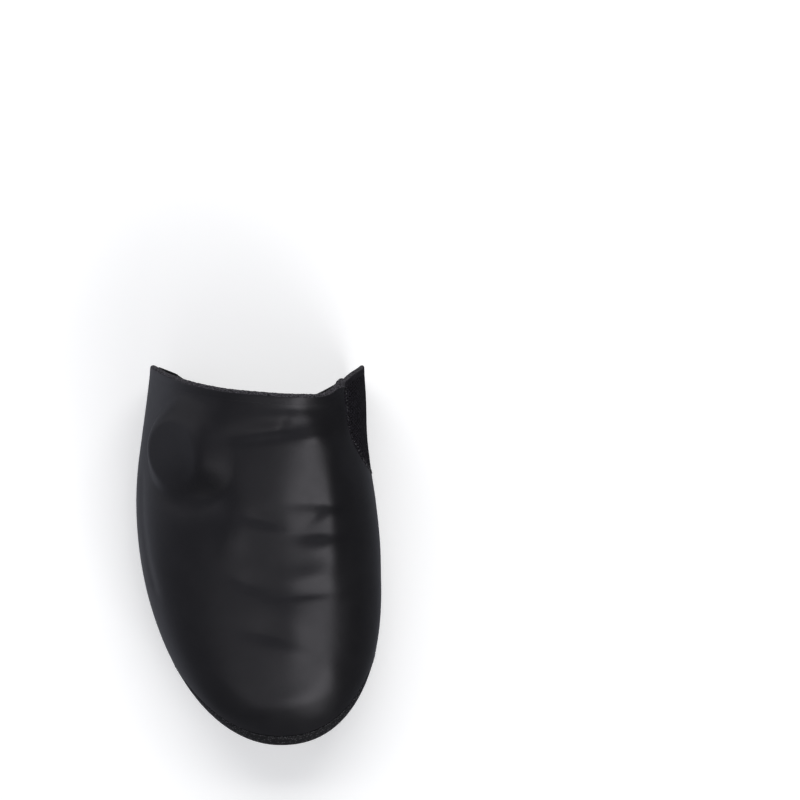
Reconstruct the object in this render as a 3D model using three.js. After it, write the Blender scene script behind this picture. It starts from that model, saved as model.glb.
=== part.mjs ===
// A slip-on toe cover for a right cycling shoe: a stretch-fabric shell that is open at the back, where
// the shoe goes in, and has an opening underneath for the cleat. It stands on its flat sole.
// Millimetres, +Z up. The toe points to -Y, the big-toe (medial) side is +X, the little-toe (lateral)
// side is -X. The origin is at the centre of the outline, on the floor.
import * as THREE from "three";

const radians = THREE.MathUtils.degToRad;

// Overall size. The widest contour reaches the full width at the ball of the foot on both sides.
const LENGTH = 160;
const WIDTH = 103.4;
const TOE_Y = -LENGTH / 2;
const MEDIAL_X = WIDTH / 2;
const LATERAL_X = -WIDTH / 2;

// Walls, and the gap that neighbouring pieces keep.
const UPPER_WALL = 2.2;
const GUSSET_WALL = 1.7;
const SOLE_WALL = 1.9;
const GAP = 0.4;

// The toe's outline is two quarter arcs that meet at its apex, which lies towards the big toe.
// The medial arc starts at the ball line, the longer lateral arc further back.
const APEX_X = 9.2;
const BALL_Y = -14.5;
const LATERAL_ARC_Y = 23.3;
const MEDIAL_ARC_FULLNESS = 2.3;

// The sole is flat under the ball of the foot, springs up towards the toe and lifts a little at the back.
const SPRING_START_Y = -22;
const TOE_SPRING = 13.5;
const SPRING_POWER = 1.7;
const BACK_LIFT_Y = 62;
const BACK_LIFT = 1.5;
const SOLE_EDGE_RADIUS = 9;

// The cleat opening, a rounded oval in the flat of the sole.
const CLEAT_HOLE = { x: 1.5, y: 17, halfWidth: 27, halfLength: 33, fullness: 2.5 };
const BACK_EDGE_BOW = 13; // how far the back edge curves in between its corners

// Hems at the opening edge: rolled fabric, thicker than the wall it ends.
const UPPER_HEM = { height: 4.2, thickness: 3.3 };
const GUSSET_HEM = { height: 3.2, thickness: 2.5 };
const SIDE_RUN = 88; // mean length from the opening edge to the ball line

// The widest contour behind the arcs, on each side of the foot.
const SIDES = [
  { y: 80, medial: 44.4, lateral: -45.2 },
  { y: 66, medial: 45.3, lateral: -47.0 },
  { y: 50, medial: 45.8, lateral: -49.2 },
  { y: 36, medial: 47.4, lateral: -51.0 },
  { y: LATERAL_ARC_Y, medial: 49.3, lateral: LATERAL_X },
  { y: 5, medial: 51.2, lateral: LATERAL_X },
  { y: BALL_Y, medial: MEDIAL_X, lateral: LATERAL_X },
];

// Sections along the foot. top: height of the ridge. ridge: its x. waist: height of the widest contour
// above the sole. medial, lateral: how full the crown is on each side (2 is an ellipse, more is squarer).
const SECTIONS = [
  { y: 80, top: 88.0, ridge: 15.0, waist: 24, medial: 2.15, lateral: 2.05 },
  { y: 66, top: 84.0, ridge: 14.6, waist: 23, medial: 2.15, lateral: 2.05 },
  { y: 45, top: 77.2, ridge: 13.4, waist: 22, medial: 2.4, lateral: 2.1 },
  { y: 22, top: 69.8, ridge: 11.4, waist: 21, medial: 2.5, lateral: 2.2 },
  { y: 2, top: 63.6, ridge: 9.9, waist: 20, medial: 2.5, lateral: 2.35 },
  { y: BALL_Y, top: 59.2, ridge: APEX_X, waist: 19, medial: 2.35, lateral: 2.5 },
  { y: -40, top: 53.8, ridge: APEX_X, waist: 16.5, medial: 2.3, lateral: 2.6 },
  { y: -60, top: 50.5, ridge: APEX_X, waist: 14.7, medial: 2.35, lateral: 2.6 },
  { y: -66.5, top: 48.6, ridge: APEX_X, waist: 14.1, medial: 2.4, lateral: 2.6 },
  { y: -72, top: 44.8, ridge: APEX_X, waist: 13.6, medial: 2.4, lateral: 2.6 },
  { y: TOE_Y, top: 37.0, ridge: APEX_X, waist: 13, medial: 2.4, lateral: 2.6 },
];

// The opening edge. turn: degrees round the section from the ridge; 90 is the widest contour.
const OPENING = [
  { turn: 0, medial: 67.4, lateral: 67.4 },
  { turn: 22, medial: 67.3, lateral: 69.3 },
  { turn: 32, medial: 68.4, lateral: 70.8 },
  { turn: 44, medial: 72.2, lateral: 73.0 },
  { turn: 58, medial: 76.3, lateral: 76.0 },
  { turn: 74, medial: 78.7, lateral: 79.2 },
  { turn: 90, medial: 79.9, lateral: 80.0 },
  { turn: 125, medial: 79.0, lateral: 79.2 },
  { turn: 180, medial: 78.0, lateral: 78.0 },
];

// The seam between upper and gusset: turn against distance along the foot.
const GUSSET_SEAM = [
  { y: 80, turn: 46.5 },
  { y: 59, turn: 46.5 },
  { y: 54.5, turn: 47.5 },
  { y: 49.5, turn: 51.5 },
  { y: 44.6, turn: 58.5 },
  { y: 40.0, turn: 67 },
  { y: 36.6, turn: 77 },
  { y: 34.4, turn: 90 },
  { y: 32.5, turn: 106 },
  { y: 30.5, turn: 124 },
  { y: 28, turn: 140 },
];
// Each piece stays back from that seam by this much, in degrees of turn and along the foot.
const SEAM_CLEARANCE = { turn: 0.3, y: 0.35 };

// The seam between upper and sole: under the edge along the sides, and rising over the toe, where the
// sole's fabric is drawn up as a rand.
const SOLE_SEAM = [
  { y: -18, turn: 122 },
  { y: -34, turn: 106 },
  { y: -46, turn: 86 },
  { y: -54, turn: 77 },
  { y: -62, turn: 72.5 },
  { y: -69, turn: 69.5 },
  { y: -76, turn: 67 },
  { y: TOE_Y, turn: 66 },
];
const SIDE_SEAM_TURN = SOLE_SEAM[0].turn;

// A closure dial of the shoe stands out under the upper, high on the lateral side. centre is its place
// on the bare shell; the shell is drawn to a flat cap of this radius, that far out along the axis. From
// the cap the fabric drops over the skirt's width on the lateral side, and over the longer tent's on
// the side of the instep. depth: how far below the cap the skirt still draws the shell out.
const DIAL_TILT = radians(42);
const DIAL = {
  centre: new THREE.Vector3(-33.2, 43.9, 60.5),
  axis: new THREE.Vector3(-Math.sin(DIAL_TILT), -0.12, Math.cos(DIAL_TILT)).normalize(),
  radius: 12.8,
  skirt: 6.5,
  tent: 15,
  rise: 1.9,
  depth: 9,
};

// Folds and pads where the upper is drawn over the shoe's closures. angle: degrees from +X to the long
// direction. rise: positive for a pad, negative for a fold. lean: how much longer the slope towards the
// heel is than the one towards the toe.
const FOLDS = [
  { name: "edge_fold", x: 20, y: 61.7, angle: 0, halfLength: 12, halfWidth: 2.4, lean: 1, rise: -0.6 },
  { name: "instep_fold", x: 7, y: 52, angle: 6, halfLength: 16, halfWidth: 2.8, lean: 1.5, rise: -1.3 },
  { name: "instep_pad", x: 25, y: 50.5, angle: -3, halfLength: 8, halfWidth: 5, lean: 1, rise: 1.6 },
  { name: "strap_trough", x: 19, y: 18, angle: 92, halfLength: 34, halfWidth: 6, lean: 1, rise: -0.4 },
  { name: "strap_shoulder", x: 32, y: 20, angle: 90, halfLength: 30, halfWidth: 5, lean: 1, rise: 1 },
  { name: "first_gap", x: 29, y: 22.8, angle: -3, halfLength: 11, halfWidth: 3.4, lean: 4, rise: -1.6 },
  { name: "first_branch", x: 26, y: 18.5, angle: 40, halfLength: 5, halfWidth: 2.6, lean: 1.5, rise: -0.5 },
  { name: "second_gap", x: 29, y: 10.8, angle: 2, halfLength: 12, halfWidth: 3.4, lean: 3, rise: -1.1 },
  { name: "second_pad", x: 27.5, y: 5, angle: 0, halfLength: 6, halfWidth: 3.2, lean: 1, rise: 0.4 },
  { name: "third_pad", x: 24, y: -7, angle: 4, halfLength: 9, halfWidth: 4, lean: 1, rise: 0.5 },
  { name: "third_gap", x: 22, y: -14.8, angle: 4, halfLength: 13, halfWidth: 1.8, lean: 3, rise: -0.4 },
  { name: "guide_pad", x: -9.5, y: 9.8, angle: 90, halfLength: 10, halfWidth: 6, lean: 1, rise: 1.1 },
  { name: "guide_fold", x: 2.8, y: 16, angle: -15, halfLength: 8, halfWidth: 2.4, lean: 2, rise: -0.8 },
  { name: "lower_fold", x: -0.5, y: -11.6, angle: -28, halfLength: 8, halfWidth: 2.6, lean: 2, rise: -0.8 },
  { name: "vamp_fold", x: 7, y: -32, angle: -14, halfLength: 12, halfWidth: 3.6, lean: 2, rise: -0.9 },
  { name: "dial_hollow", x: -23, y: 26, angle: -8, halfLength: 12, halfWidth: 7.5, lean: 1.4, rise: -3.4 },
  { name: "seam_roll", x: 37.5, y: 58, angle: 90, halfLength: 10, halfWidth: 3, lean: 1, rise: 0.7 },
];

// How finely the surfaces are cut.
const SIDE_COLUMNS = 36;
const TOE_COLUMNS = 30;
const SHELL_ROWS = 15;
const WRAP_ROWS = 5;
const FLOOR_ROWS = 3;
const SNAP = 0.15; // of an edge: a corner nearer to a cut than this is moved onto it
const BACK_EDGE_COLUMNS = 12;
const PROFILE_STEPS = 90;
const HEM_STEP = 4; // degrees of turn
const HEM_CORNERS = 8;
const HEM_FULLNESS = 2.5;
const NUDGE = { s: 0.002, turn: 0.5, y: 0.5 }; // for slopes taken between two near places

const RIGHT_ANGLE = Math.PI / 2;
const mix = THREE.MathUtils.lerp;

// The value of one column of a table at a place, along a smooth curve through its rows.
function along(rows, place, key, at) {
  const last = rows.length - 1;
  const falling = rows[0][place] > rows[last][place];
  const order = falling ? [...rows].reverse() : rows;
  if (at <= order[0][place]) return order[0][key];
  if (at >= order[last][place]) return order[last][key];
  const i = order.findIndex((row) => row[place] > at) - 1;
  const slope = (k) => {
    const a = order[Math.max(k - 1, 0)];
    const b = order[Math.min(k + 1, last)];
    return (b[key] - a[key]) / (b[place] - a[place]);
  };
  const span = order[i + 1][place] - order[i][place];
  const t = (at - order[i][place]) / span;
  const [t2, t3] = [t * t, t * t * t];
  return (
    (2 * t3 - 3 * t2 + 1) * order[i][key] +
    (t3 - 2 * t2 + t) * span * slope(i) +
    (3 * t2 - 2 * t3) * order[i + 1][key] +
    (t3 - t2) * span * slope(i + 1)
  );
}

function smooth(t) {
  return THREE.MathUtils.smoothstep(t, 0, 1);
}

// Height of the sole's underside.
function soleHeight(y) {
  if (y < SPRING_START_Y) {
    const t = (SPRING_START_Y - y) / (SPRING_START_Y - TOE_Y);
    return TOE_SPRING * Math.min(t, 1) ** SPRING_POWER;
  }
  if (y > BACK_LIFT_Y) {
    return BACK_LIFT * ((y - BACK_LIFT_Y) / (LENGTH / 2 - BACK_LIFT_Y)) ** 2;
  }
  return 0;
}

// A point of the superellipse arc from (1, 0) to (0, 1).
function arc(angle, fullness) {
  const power = 2 / fullness;
  return [Math.max(Math.cos(angle), 0) ** power, Math.max(Math.sin(angle), 0) ** power];
}

// x of the widest contour beside the foot, behind the toe's arcs.
function sideX(side, y) {
  if (side === "lateral" && y < LATERAL_ARC_Y) {
    const t = (LATERAL_ARC_Y - y) / (LATERAL_ARC_Y - TOE_Y);
    return APEX_X - (APEX_X - LATERAL_X) * Math.sqrt(1 - t * t);
  }
  return along(SIDES, "y", side, y);
}

// Stations run round the cover with s: 0 to 1 forward along the medial side, 1 to 2 round the toe, and
// 2 to 3 back along the lateral side. rim is the station's point on the widest contour, root its
// partner on the ridge. Round the toe all stations share one root.
function station(s) {
  if (s > 1 && s < 2) {
    const root = new THREE.Vector2(APEX_X, BALL_Y);
    const backAngle = Math.asin((LATERAL_ARC_Y - BALL_Y) / (LATERAL_ARC_Y - TOE_Y));
    if (s < 1.5) {
      const [across, ahead] = arc((s - 1) * 2 * RIGHT_ANGLE, MEDIAL_ARC_FULLNESS);
      const x = mix(APEX_X, MEDIAL_X, across);
      return { s, side: "medial", u: 1, root, rim: new THREE.Vector2(x, mix(BALL_Y, TOE_Y, ahead)) };
    }
    const angle = mix(RIGHT_ANGLE, backAngle, (s - 1.5) * 2);
    const x = mix(APEX_X, LATERAL_X, Math.cos(angle));
    const y = mix(LATERAL_ARC_Y, TOE_Y, Math.sin(angle));
    return { s, side: "lateral", u: 1, root, rim: new THREE.Vector2(x, y) };
  }
  const side = s <= 1 ? "medial" : "lateral";
  const u = s <= 1 ? s : 3 - s;
  const eased = u + u * u - u * u * u;
  const rootY = mix(along(OPENING, "turn", side, 0), BALL_Y, eased);
  const rimY = mix(along(OPENING, "turn", side, 90), BALL_Y, u);
  const root = new THREE.Vector2(along(SECTIONS, "y", "ridge", rootY), rootY);
  return { s, side, u, root, rim: new THREE.Vector2(sideX(side, rimY), rimY) };
}

// The bare skin at a station, turned by so many degrees from the ridge: 0 is the ridge, 90 the widest
// contour, 180 the flat of the sole.
function skin(st, turn) {
  const { s, side, u, root, rim } = st;
  const openingY = along(OPENING, "turn", side, turn);
  const waist = soleHeight(rim.y) + along(SECTIONS, "y", "waist", rim.y);
  const fade = (1 - u) ** 2;
  if (turn <= 90) {
    const middleY = mix(root.y, rim.y, 0.5);
    const medialFullness = along(SECTIONS, "y", "medial", middleY);
    const fullness = mix(medialFullness, along(SECTIONS, "y", "lateral", middleY), smooth(s - 1));
    const [lift, out] = arc(radians(turn), fullness);
    const plan = root.clone().lerp(rim, out);
    const straightY = mix(along(OPENING, "turn", side, 0), along(OPENING, "turn", side, 90), out);
    plan.y += (openingY - straightY) * fade;
    return new THREE.Vector3(plan.x, plan.y, mix(waist, along(SECTIONS, "y", "top", plan.y), lift));
  }
  const under = radians(turn - 90);
  const inward = root.clone().sub(rim).normalize();
  const plan = rim.clone().addScaledVector(inward, SOLE_EDGE_RADIUS * (1 - Math.cos(under)));
  plan.y += (openingY - along(OPENING, "turn", side, 90)) * fade;
  return new THREE.Vector3(plan.x, plan.y, mix(waist, soleHeight(plan.y), Math.sin(under)));
}

// How far the folds lift the surface at a place in plan.
function foldRise(x, y) {
  let rise = 0;
  for (const fold of FOLDS) {
    const angle = radians(fold.angle);
    const [dx, dy] = [x - fold.x, y - fold.y];
    const run = (dx * Math.cos(angle) + dy * Math.sin(angle)) / fold.halfLength;
    let across = (dy * Math.cos(angle) - dx * Math.sin(angle)) / fold.halfWidth;
    if (across > 0) across /= fold.lean;
    rise += fold.rise * Math.exp(-run * run - across * across);
  }
  return rise;
}

// The upper's relief: the dial lifts the skin to a flat cap, and the folds push it along its normal.
function relief(point, normal) {
  const offset = point.clone().sub(DIAL.centre);
  const height = offset.dot(DIAL.axis);
  const flat = offset.addScaledVector(DIAL.axis, -height);
  const away = flat.length();
  const towardsInstep = smooth(0.5 + flat.x / Math.max(away, 1));
  const cap = 1 - smooth((away - DIAL.radius) / mix(DIAL.skirt, DIAL.tent, towardsInstep));
  const lift = Math.max(DIAL.rise - height, -DIAL.depth) * cap;
  const moved = point.clone().addScaledVector(DIAL.axis, lift);
  return moved.addScaledVector(normal, foldRise(moved.x, moved.y) * smooth(Math.max(normal.z, 0) * 2));
}

// The outward normal of the bare skin.
function skinNormal(s, turn) {
  const t = THREE.MathUtils.clamp(turn, 2 * NUDGE.turn, 180 - 2 * NUDGE.turn);
  const forward = skin(station(s + NUDGE.s), t).sub(skin(station(s - NUDGE.s), t));
  const down = skin(station(s), t + NUDGE.turn).sub(skin(station(s), t - NUDGE.turn));
  return forward.cross(down).normalize();
}

// The skin at one station as a chain of places from ridge to sole, each with its turn and its length
// along the chain.
function profile(s) {
  const st = station(s);
  let length = 0;
  let before = null;
  return Array.from({ length: PROFILE_STEPS + 1 }, (_, i) => {
    const turn = (180 * i) / PROFILE_STEPS;
    const point = skin(st, turn);
    if (before) length += point.distanceTo(before);
    before = point;
    return { turn, y: point.y, length };
  });
}

function turnAtLength(chain, length) {
  const i = Math.max(chain.findIndex((c) => c.length >= length - 1e-9), 1);
  const [a, b] = [chain[i - 1], chain[i]];
  return mix(a.turn, b.turn, (length - a.length) / (b.length - a.length));
}

// Length along a chain to a line, which is given by how many degrees a place is past it.
function lengthTo(chain, past) {
  const i = Math.max(chain.findIndex((c) => past(c) >= 0), 1);
  const [a, b] = [chain[i - 1], chain[i]];
  return mix(a.length, b.length, past(a) / (past(a) - past(b)));
}

function pastSoleSeam({ turn, y }) {
  return turn - along(SOLE_SEAM, "y", "turn", y);
}

// The two edges of the gusset seam, each half a gap from it both along the foot and round it.
function pastUpperEdge(s, turn) {
  if (s >= 1) return -turn;
  const { y } = skin(station(s), turn);
  return turn + SEAM_CLEARANCE.turn - along(GUSSET_SEAM, "y", "turn", y + SEAM_CLEARANCE.y);
}

function beforeGussetEdge(s, turn) {
  const { y } = skin(station(s), turn);
  return along(GUSSET_SEAM, "y", "turn", y - SEAM_CLEARANCE.y) - turn + SEAM_CLEARANCE.turn;
}

// Stations all the way round, from u = first on the medial side to u = first on the lateral side.
function stationsRound(first) {
  const side = [first];
  for (let i = 1; i <= SIDE_COLUMNS; i++) {
    if (i / SIDE_COLUMNS > first + 0.4 / SIDE_COLUMNS) side.push(i / SIDE_COLUMNS);
  }
  const toe = Array.from({ length: TOE_COLUMNS - 1 }, (_, i) => 1 + (i + 1) / TOE_COLUMNS);
  return [...side, ...toe, ...side.map((u) => 3 - u).reverse()];
}

// A surface in the making: points with their outward normals and places on the skin, and triangles
// given by point numbers, anticlockwise seen from outside.
class Sheet {
  constructor() {
    this.points = [];
    this.normals = [];
    this.places = [];
    this.faces = [];
    this.known = new Map();
  }

  // The number of a point; a place that was added before keeps its number.
  add(point, normal, place) {
    const key = point.toArray().map((v) => v.toFixed(3)).join();
    if (!this.known.has(key)) {
      this.known.set(key, this.points.length);
      this.set(this.points.length, point, normal, place);
    }
    return this.known.get(key);
  }

  set(number, point, normal, place) {
    this.points[number] = point;
    this.normals[number] = normal;
    this.places[number] = place;
  }

  addSkin(s, turn) {
    return this.add(skin(station(s), turn), skinNormal(s, turn), { s, turn });
  }

  // A column of points down the skin at a station, between two lengths along its chain.
  column(s, chain, from, to, rows) {
    return Array.from({ length: rows + 1 }, (_, j) => {
      return this.addSkin(s, turnAtLength(chain, mix(from, to, j / rows)));
    });
  }

  // Faces over a grid of point numbers, one list for each station.
  cover(grid) {
    for (let i = 0; i + 1 < grid.length; i++) {
      for (let j = 0; j + 1 < grid[i].length; j++) {
        const [a, b, c, d] = [grid[i][j], grid[i + 1][j], grid[i + 1][j + 1], grid[i][j + 1]];
        this.face(a, b, c);
        this.face(a, c, d);
      }
    }
  }

  // A triangle, unless two of its corners are the same point.
  face(a, b, c) {
    if (a !== b && b !== c && c !== a) this.faces.push([a, b, c]);
  }

  // Where an edge from one point to another crosses the line past(s, turn) = 0.
  crossing(from, to, past) {
    const [a, b] = [this.places[from], this.places[to]];
    const at = (t) => ({ s: mix(a.s, b.s, t), turn: mix(a.turn, b.turn, t) });
    const startsPast = past(a.s, a.turn) > 0;
    let [low, high] = [0, 1];
    while (high - low > 1e-5) {
      const t = (low + high) / 2;
      if (past(at(t).s, at(t).turn) > 0 === startsPast) low = t;
      else high = t;
    }
    return { share: low, ...at(low) };
  }

  // Keeps the part of the surface where past(s, turn) is below 0. Points close to the line are moved
  // onto it first, so that the cut leaves no slivers.
  trim(past) {
    const side = this.places.map(({ s, turn }) => Math.sign(past(s, turn)));
    const snap = (a, b) => {
      if (side[a] * side[b] >= 0) return;
      const { share, s, turn } = this.crossing(a, b, past);
      if (share > SNAP) return;
      this.set(a, skin(station(s), turn), skinNormal(s, turn), { s, turn });
      side[a] = 0;
    };
    for (const face of this.faces) {
      for (const a of face) face.forEach((b) => snap(a, b));
    }
    const kept = [];
    for (const face of this.faces.filter((corners) => corners.some((a) => side[a] < 0))) {
      const outline = face.flatMap((a, k) => {
        const b = face[(k + 1) % 3];
        const own = side[a] <= 0 ? [a] : [];
        if (side[a] * side[b] >= 0) return own;
        const { s, turn } = this.crossing(Math.min(a, b), Math.max(a, b), past);
        return [...own, this.addSkin(s, turn)];
      });
      for (let k = 1; k + 1 < outline.length; k++) kept.push([outline[0], outline[k], outline[k + 1]]);
    }
    this.faces = kept;
  }

  // The closed wall whose outside is this surface: a second skin inside it, and a strip on each edge.
  wall(thickness) {
    const count = this.points.length;
    const inside = this.points.map((p, i) => p.clone().addScaledVector(this.normals[i], -thickness));
    const triangles = [...this.faces];
    for (const [a, b, c] of this.faces) triangles.push([a + count, c + count, b + count]);
    const edges = new Set(this.faces.flatMap(([a, b, c]) => [`${a},${b}`, `${b},${c}`, `${c},${a}`]));
    for (const edge of edges) {
      const [a, b] = edge.split(",").map(Number);
      if (edges.has(`${b},${a}`)) continue;
      triangles.push([b, a, a + count], [b, a + count, b + count]);
    }
    return solid([...this.points, ...inside], triangles);
  }
}

function solid(points, triangles) {
  const geometry = new THREE.BufferGeometry();
  geometry.setAttribute("position", new THREE.Float32BufferAttribute(points.flatMap((p) => p.toArray()), 3));
  geometry.setIndex(triangles.flat());
  geometry.computeVertexNormals();
  return geometry;
}

// The bare skin above the sole seam, over a run of stations.
function shell(stations) {
  const sheet = new Sheet();
  const grid = stations.map((s) => {
    const chain = profile(s);
    return sheet.column(s, chain, 0, lengthTo(chain, pastSoleSeam) - GAP / 2, SHELL_ROWS);
  });
  sheet.cover(grid);
  return sheet;
}

// The coated shell, from the ridge down to the gusset seam and the sole seam.
function upper() {
  const sheet = shell(stationsRound((UPPER_HEM.height + GAP) / SIDE_RUN));
  sheet.trim(pastUpperEdge);
  sheet.points = sheet.points.map((p, i) => relief(p, sheet.normals[i]));
  return sheet.wall(UPPER_WALL);
}

// The knitted panel on the medial side, which ends forward in a point on the sole seam.
function sideGusset() {
  const stations = stationsRound((GUSSET_HEM.height + GAP) / SIDE_RUN);
  const sheet = shell(stations.filter((s) => s < 1));
  sheet.trim(beforeGussetEdge);
  return sheet.wall(GUSSET_WALL);
}

// The point of the cleat opening's edge in the direction of a place on the sole.
function cleatEdge(place) {
  const { x, y, halfWidth, halfLength, fullness } = CLEAT_HOLE;
  const direction = new THREE.Vector2(place.x - x, place.y - y).normalize();
  const across = Math.abs(direction.x / halfWidth) ** fullness;
  const ahead = Math.abs(direction.y / halfLength) ** fullness;
  return direction.multiplyScalar((across + ahead) ** (-1 / fullness)).add(new THREE.Vector2(x, y));
}

function addFloorPoint(sheet, plan) {
  const rise = soleHeight(plan.y + NUDGE.y) - soleHeight(plan.y - NUDGE.y);
  const normal = new THREE.Vector3(0, rise / (2 * NUDGE.y), -1).normalize();
  return sheet.add(new THREE.Vector3(plan.x, plan.y, soleHeight(plan.y)), normal);
}

// The sole: a strip from the sole seam round the edge, and the floor in to the cleat opening.
function solePanel() {
  const sheet = new Sheet();
  const wrap = stationsRound(0).map((s) => {
    const chain = profile(s);
    const start = lengthTo(chain, pastSoleSeam) + GAP / 2;
    return sheet.column(s, chain, start, chain.at(-1).length, WRAP_ROWS);
  });
  sheet.cover(wrap);
  const outline = wrap.map((column) => column.at(-1));
  const [medial, lateral] = [sheet.points[outline[0]], sheet.points[outline.at(-1)]];
  for (let i = 1; i < BACK_EDGE_COLUMNS; i++) {
    const t = i / BACK_EDGE_COLUMNS;
    const plan = new THREE.Vector2(lateral.x, lateral.y).lerp(medial, t);
    plan.y -= BACK_EDGE_BOW * 4 * t * (1 - t);
    outline.push(addFloorPoint(sheet, plan));
  }
  const floor = outline.map((number) => {
    const edge = new THREE.Vector2(sheet.points[number].x, sheet.points[number].y);
    const hole = cleatEdge(edge);
    const column = [number];
    for (let j = 1; j <= FLOOR_ROWS; j++) {
      column.push(addFloorPoint(sheet, edge.clone().lerp(hole, j / FLOOR_ROWS)));
    }
    return column;
  });
  sheet.cover([...floor, floor[0]]);
  return sheet.wall(SOLE_WALL);
}

// Places along the opening edge on one side, from one turn to another.
function edgePlaces(side, from, to) {
  const steps = Math.ceil(Math.abs(to - from) / HEM_STEP);
  return Array.from({ length: steps + 1 }, (_, i) => ({ side, turn: mix(from, to, i / steps) }));
}

// A hem's section at one place: a rounded oblong round the end of the wall.
function hemSection({ side, turn }, { height, thickness }, wall) {
  const stationAt = (u) => (side === "medial" ? u : 3 - u);
  const share = height / SIDE_RUN;
  const normal = skinNormal(stationAt(share / 2), turn);
  const back = skin(station(stationAt(0)), turn);
  const half = skin(station(stationAt(share)), turn).sub(back).multiplyScalar(0.5);
  const centre = back.add(half).addScaledVector(normal, -wall / 2);
  return Array.from({ length: HEM_CORNERS }, (_, k) => {
    const angle = (2 * Math.PI * (k + 0.5)) / HEM_CORNERS;
    const [across, out] = arc(Math.atan2(Math.abs(Math.sin(angle)), Math.abs(Math.cos(angle))), HEM_FULLNESS);
    const point = centre.clone().addScaledVector(half, across * Math.sign(Math.cos(angle)));
    return point.addScaledVector(normal, (-out * Math.sign(Math.sin(angle)) * thickness) / 2);
  });
}

// A hem along the opening edge, swept through its sections and closed at both ends.
function hem(places, size, wall) {
  const sections = places.map((place) => hemSection(place, size, wall));
  const last = (sections.length - 1) * HEM_CORNERS;
  const triangles = [];
  for (let i = 0; i + 1 < sections.length; i++) {
    for (let k = 0; k < HEM_CORNERS; k++) {
      const [a, b] = [i * HEM_CORNERS + k, i * HEM_CORNERS + ((k + 1) % HEM_CORNERS)];
      triangles.push([a, b, b + HEM_CORNERS], [a, b + HEM_CORNERS, a + HEM_CORNERS]);
    }
  }
  for (let k = 1; k + 1 < HEM_CORNERS; k++) {
    triangles.push([0, k + 1, k], [last, last + k, last + k + 1]);
  }
  return solid(sections.flat(), triangles);
}

function upperHem() {
  const seam = GUSSET_SEAM[0].turn - SEAM_CLEARANCE.turn;
  const lateral = edgePlaces("lateral", SIDE_SEAM_TURN - SEAM_CLEARANCE.turn, 0);
  const medial = edgePlaces("medial", 0, seam).slice(1);
  return hem([...lateral, ...medial], UPPER_HEM, UPPER_WALL);
}

function gussetHem() {
  const from = GUSSET_SEAM[0].turn + SEAM_CLEARANCE.turn;
  return hem(edgePlaces("medial", from, SIDE_SEAM_TURN - SEAM_CLEARANCE.turn), GUSSET_HEM, GUSSET_WALL);
}

// The pieces and their finishes.
const PIECES = [
  { name: "upper", geometry: upper(), color: 0x1f1f23, roughness: 0.45 },
  { name: "side_gusset", geometry: sideGusset(), color: 0x26212c, roughness: 0.85 },
  { name: "sole_panel", geometry: solePanel(), color: 0x1b1b1d, roughness: 0.8 },
  { name: "upper_hem", geometry: upperHem(), color: 0x232327, roughness: 0.7 },
  { name: "gusset_hem", geometry: gussetHem(), color: 0x28242d, roughness: 0.8 },
];

const cover = new THREE.Group();
cover.name = "toe_cover";
for (const { name, geometry, color, roughness } of PIECES) {
  const material = new THREE.MeshStandardMaterial({ color, roughness, metalness: 0 });
  const mesh = new THREE.Mesh(geometry, material);
  mesh.name = name;
  cover.add(mesh);
}

export default cover;
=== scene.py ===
"""The looks of a slip-on toe cover for a right cycling shoe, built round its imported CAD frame.

Lengths here are millimetres in the part's own frame (+Z up, the toe to -Y, the big-toe side at +X) and
become metres when a mesh is made. The cover's surface is worked out from the same sizes as the solids,
with finer folds, seams, stitches, knit and grain.
"""

import math

import bpy
import numpy as np
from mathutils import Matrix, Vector


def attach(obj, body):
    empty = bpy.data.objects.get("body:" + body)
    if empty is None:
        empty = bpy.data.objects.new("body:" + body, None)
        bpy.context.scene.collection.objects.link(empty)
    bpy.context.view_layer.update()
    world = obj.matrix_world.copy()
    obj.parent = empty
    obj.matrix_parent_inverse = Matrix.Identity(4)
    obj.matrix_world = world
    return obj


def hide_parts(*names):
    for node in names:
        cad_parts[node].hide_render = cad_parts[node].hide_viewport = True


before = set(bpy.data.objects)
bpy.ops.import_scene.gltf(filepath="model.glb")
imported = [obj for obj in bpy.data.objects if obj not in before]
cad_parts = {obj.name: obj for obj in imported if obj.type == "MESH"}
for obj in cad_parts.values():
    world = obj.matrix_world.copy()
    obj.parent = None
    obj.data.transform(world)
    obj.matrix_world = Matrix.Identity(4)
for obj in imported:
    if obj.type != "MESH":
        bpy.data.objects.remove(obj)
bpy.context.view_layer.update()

MM = 0.001


def table(columns, *rows):
    """A table with named columns: {name: the column's values}."""
    values = [np.array(column) for column in zip(*rows)]
    values = [v if v.dtype.kind == "U" else v.astype(float) for v in values]
    return dict(zip(columns.split(), values))


# ---- Sizes, as in the CAD source ----

LENGTH = 160
WIDTH = 103.4
TOE_Y = -LENGTH / 2
MEDIAL_X = WIDTH / 2
LATERAL_X = -WIDTH / 2

UPPER_WALL = 2.2
GUSSET_WALL = 1.7
SOLE_WALL = 1.9

APEX_X = 9.2
BALL_Y = -14.5
LATERAL_ARC_Y = 23.3
MEDIAL_ARC_FULLNESS = 2.3

SPRING_START_Y = -22
TOE_SPRING = 13.5
SPRING_POWER = 1.7
BACK_LIFT_Y = 62
BACK_LIFT = 1.5
SOLE_EDGE_RADIUS = 9

CLEAT_HOLE = {"x": 1.5, "y": 17, "half_width": 27, "half_length": 33, "fullness": 2.5}
BACK_EDGE_BOW = 13

UPPER_HEM_HEIGHT = 4.2
GUSSET_HEM_HEIGHT = 3.2
SIDE_RUN = 88  # mean length from the opening edge to the ball line

# The widest contour behind the toe's arcs, on each side of the foot.
SIDES = table(
    "y medial lateral",
    (80, 44.4, -45.2),
    (66, 45.3, -47.0),
    (50, 45.8, -49.2),
    (36, 47.4, -51.0),
    (LATERAL_ARC_Y, 49.3, LATERAL_X),
    (5, 51.2, LATERAL_X),
    (BALL_Y, MEDIAL_X, LATERAL_X),
)

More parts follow.
